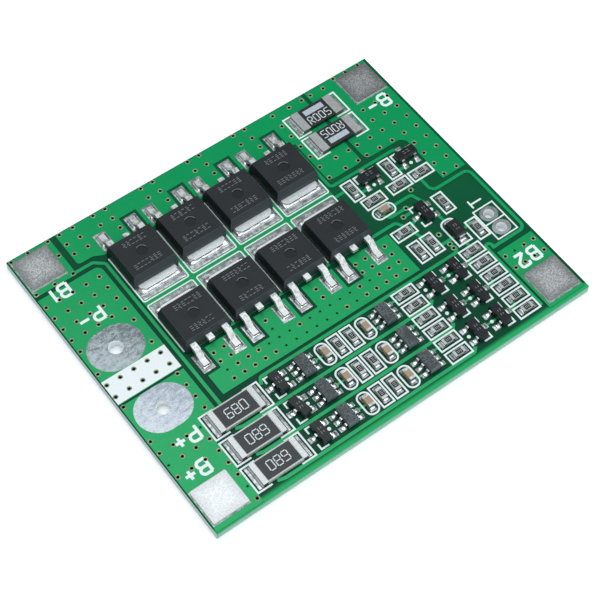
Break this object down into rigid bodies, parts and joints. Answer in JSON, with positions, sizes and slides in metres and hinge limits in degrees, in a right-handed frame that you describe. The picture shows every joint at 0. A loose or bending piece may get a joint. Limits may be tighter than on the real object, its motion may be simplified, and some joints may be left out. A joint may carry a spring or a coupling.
{
  "type": "battery management board",
  "caption": "Flat rectangular battery protection board with rows of power transistors, resistors, wire pads and weld plates.",
  "frame": {"origin": "middle of the board's underside", "axes": "+X along the long side from the positive battery plate to the second tap plate, +Y from the positive battery plate to the first tap plate, +Z out of the component side"},
  "size_m": [0.056, 0.045, 0.0036],
  "materials": {
    "balance_resistor_ceramic": "black glaze on white ceramic",
    "capacitor_tan": "fired ceramic",
    "chip_resistor_black": "black glaze on white ceramic",
    "chip_terminal": "tin-plated end",
    "controller_black": "moulded epoxy",
    "diode_black": "moulded epoxy",
    "laminate": "dark green solder mask on glass-fibre laminate",
    "masked_copper": "solder mask over copper",
    "masked_track": "solder mask over copper",
    "moulded_black": "moulded epoxy",
    "nickel_b1": "matte nickel",
    "nickel_b2": "matte nickel",
    "nickel_b_minus": "matte nickel",
    "nickel_b_plus": "matte nickel",
    "sense_resistor_black": "lacquered resistor",
    "sense_terminal": "tin-plated metal",
    "sensor_pad": "tinned copper",
    "small_body_black": "moulded epoxy",
    "small_lead": "tin-plated copper",
    "solder_land": "tinned copper",
    "tinned_lead": "tin-plated copper",
    "white_print": "white print",
    "wire_pad_minus": "tinned copper",
    "wire_pad_plus": "tinned copper"
  },
  "bodies": {
    "root": {"b1_plate": "nickel_b1", "b2_plate": "nickel_b2", "b_minus_plate": "nickel_b_minus", "b_plus_plate": "nickel_b_plus", "balance_monitor_1_body": "controller_black", "balance_monitor_1_leads": "small_lead", "balance_monitor_2_body": "controller_black", "balance_monitor_2_leads": "small_lead", "balance_monitor_3_body": "controller_black", "balance_monitor_3_leads": "small_lead", "balance_resistor_1_body": "balance_resistor_ceramic", "balance_resistor_1_terminals": "chip_terminal", "balance_resistor_2_body": "balance_resistor_ceramic", "balance_resistor_2_terminals": "chip_terminal", "balance_resistor_3_body": "balance_resistor_ceramic", "balance_resistor_3_terminals": "chip_terminal", "cell_monitor_1_body": "controller_black", "cell_monitor_1_leads": "small_lead", "cell_monitor_2_body": "controller_black", "cell_monitor_2_leads": "small_lead", "cell_monitor_3_body": "controller_black", "cell_monitor_3_leads": "small_lead", "charge_transistor_1_body": "moulded_black", "charge_transistor_1_leads": "tinned_lead", "charge_transistor_2_body": "moulded_black", "charge_transistor_2_leads": "tinned_lead", "charge_transistor_3_body": "moulded_black", "charge_transistor_3_leads": "tinned_lead", "charge_transistor_4_body": "moulded_black", "charge_transistor_4_leads": "tinned_lead", "chip_capacitor_bodies": "capacitor_tan", "chip_capacitor_terminals": "chip_terminal", "chip_resistor_bodies": "chip_resistor_black", "chip_resistor_terminals": "chip_terminal", "circuit_board": "laminate", "component_lands": "solder_land", "copper_areas": "masked_copper", "copper_tracks": "masked_track", "diode_body": "diode_black", "diode_leads": "small_lead", "discharge_transistor_1_body": "moulded_black", "discharge_transistor_1_leads": "tinned_lead", "discharge_transistor_2_body": "moulded_black", "discharge_transistor_2_leads": "tinned_lead", "discharge_transistor_3_body": "moulded_black", "discharge_transistor_3_leads": "tinned_lead", "discharge_transistor_4_body": "moulded_black", "discharge_transistor_4_leads": "tinned_lead", "divider_bar": "white_print", "p_minus_pad": "wire_pad_minus", "p_plus_pad": "wire_pad_plus", "printed_lines": "white_print", "sense_resistor_1_body": "sense_resistor_black", "sense_resistor_1_terminals": "sense_terminal", "sense_resistor_2_body": "sense_resistor_black", "sense_resistor_2_terminals": "sense_terminal", "sensor_pads": "sensor_pad", "small_transistor_bodies": "small_body_black", "small_transistor_leads": "small_lead", "terminal_marks": "white_print"}
  },
  "joints": []
}
